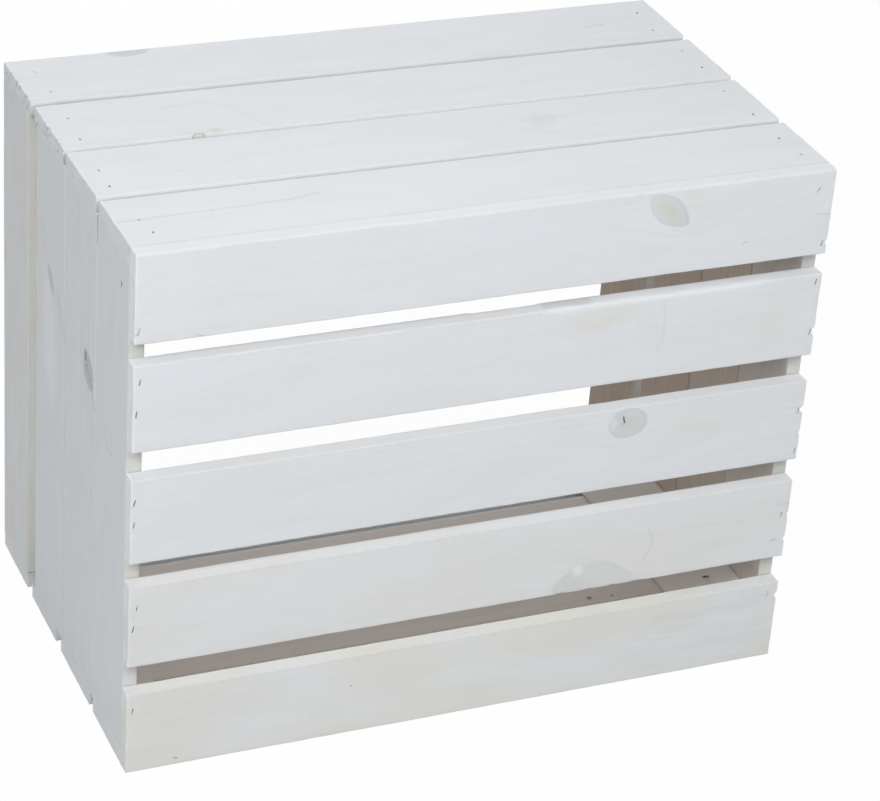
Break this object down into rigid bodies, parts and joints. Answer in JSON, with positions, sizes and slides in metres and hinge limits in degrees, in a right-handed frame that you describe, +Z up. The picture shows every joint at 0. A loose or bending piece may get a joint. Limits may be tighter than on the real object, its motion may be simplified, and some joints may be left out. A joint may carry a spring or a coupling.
{
  "type": "kindling box",
  "caption": "Open slatted softwood crate with a white glaze, standing on its long side, for kindling and small logs.",
  "frame": {"origin": "on the floor, under the middle of the box", "axes": "+X to the right along the slats, +Y from the slatted base at the front to the open mouth at the back, +Z up"},
  "size_m": [0.5, 0.307, 0.4],
  "materials": {
    "glazed_slat_wood": "white glaze on sanded pine, grain showing through",
    "glazed_side_wood": "white glaze on sanded pine, grain showing through",
    "glazed_end_wood": "white glaze on sanded pine, grain showing through",
    "post_wood": "sawn pine under a thin glaze",
    "staple_wire": "dull galvanised wire",
    "brad_steel": "dull steel, partly under the glaze"
  },
  "bodies": {
    "root": {"base_slat_1": "glazed_slat_wood", "base_slat_2": "glazed_slat_wood", "base_slat_3": "glazed_slat_wood", "base_slat_4": "glazed_slat_wood", "base_slat_5": "glazed_slat_wood", "top_board_1": "glazed_side_wood", "top_board_2": "glazed_side_wood", "top_board_3": "glazed_side_wood", "top_board_4": "glazed_side_wood", "bottom_board_1": "glazed_side_wood", "bottom_board_2": "glazed_side_wood", "bottom_board_3": "glazed_side_wood", "bottom_board_4": "glazed_side_wood", "left_end_board_1": "glazed_end_wood", "left_end_board_2": "glazed_end_wood", "left_end_board_3": "glazed_end_wood", "left_end_board_4": "glazed_end_wood", "right_end_board_1": "glazed_end_wood", "right_end_board_2": "glazed_end_wood", "right_end_board_3": "glazed_end_wood", "right_end_board_4": "glazed_end_wood", "corner_post_top_right": "post_wood", "corner_post_bottom_right": "post_wood", "corner_post_bottom_left": "post_wood", "corner_post_top_left": "post_wood", "slat_staple_1_left_1": "staple_wire", "slat_staple_1_left_2": "staple_wire", "slat_staple_1_right_1": "staple_wire", "slat_staple_1_right_2": "staple_wire", "slat_staple_2_left_1": "staple_wire", "slat_staple_2_left_2": "staple_wire", "slat_staple_2_right_1": "staple_wire", "slat_staple_2_right_2": "staple_wire", "slat_staple_3_left_1": "staple_wire", "slat_staple_3_left_2": "staple_wire", "slat_staple_3_right_1": "staple_wire", "slat_staple_3_right_2": "staple_wire", "slat_staple_4_left_1": "staple_wire", "slat_staple_4_left_2": "staple_wire", "slat_staple_4_right_1": "staple_wire", "slat_staple_4_right_2": "staple_wire", "slat_staple_5_left_1": "staple_wire", "slat_staple_5_left_2": "staple_wire", "slat_staple_5_right_1": "staple_wire", "slat_staple_5_right_2": "staple_wire", "top_brad_1_left_1": "brad_steel", "top_brad_1_left_2": "brad_steel", "top_brad_1_right_1": "brad_steel", "top_brad_1_right_2": "brad_steel", "top_brad_2_left_1": "brad_steel", "top_brad_2_left_2": "brad_steel", "top_brad_2_right_1": "brad_steel", "top_brad_2_right_2": "brad_steel", "top_brad_3_left_1": "brad_steel", "top_brad_3_left_2": "brad_steel", "top_brad_3_right_1": "brad_steel", "top_brad_3_right_2": "brad_steel", "top_brad_4_left_1": "brad_steel", "top_brad_4_left_2": "brad_steel", "top_brad_4_right_1": "brad_steel"}
  },
  "joints": []
}
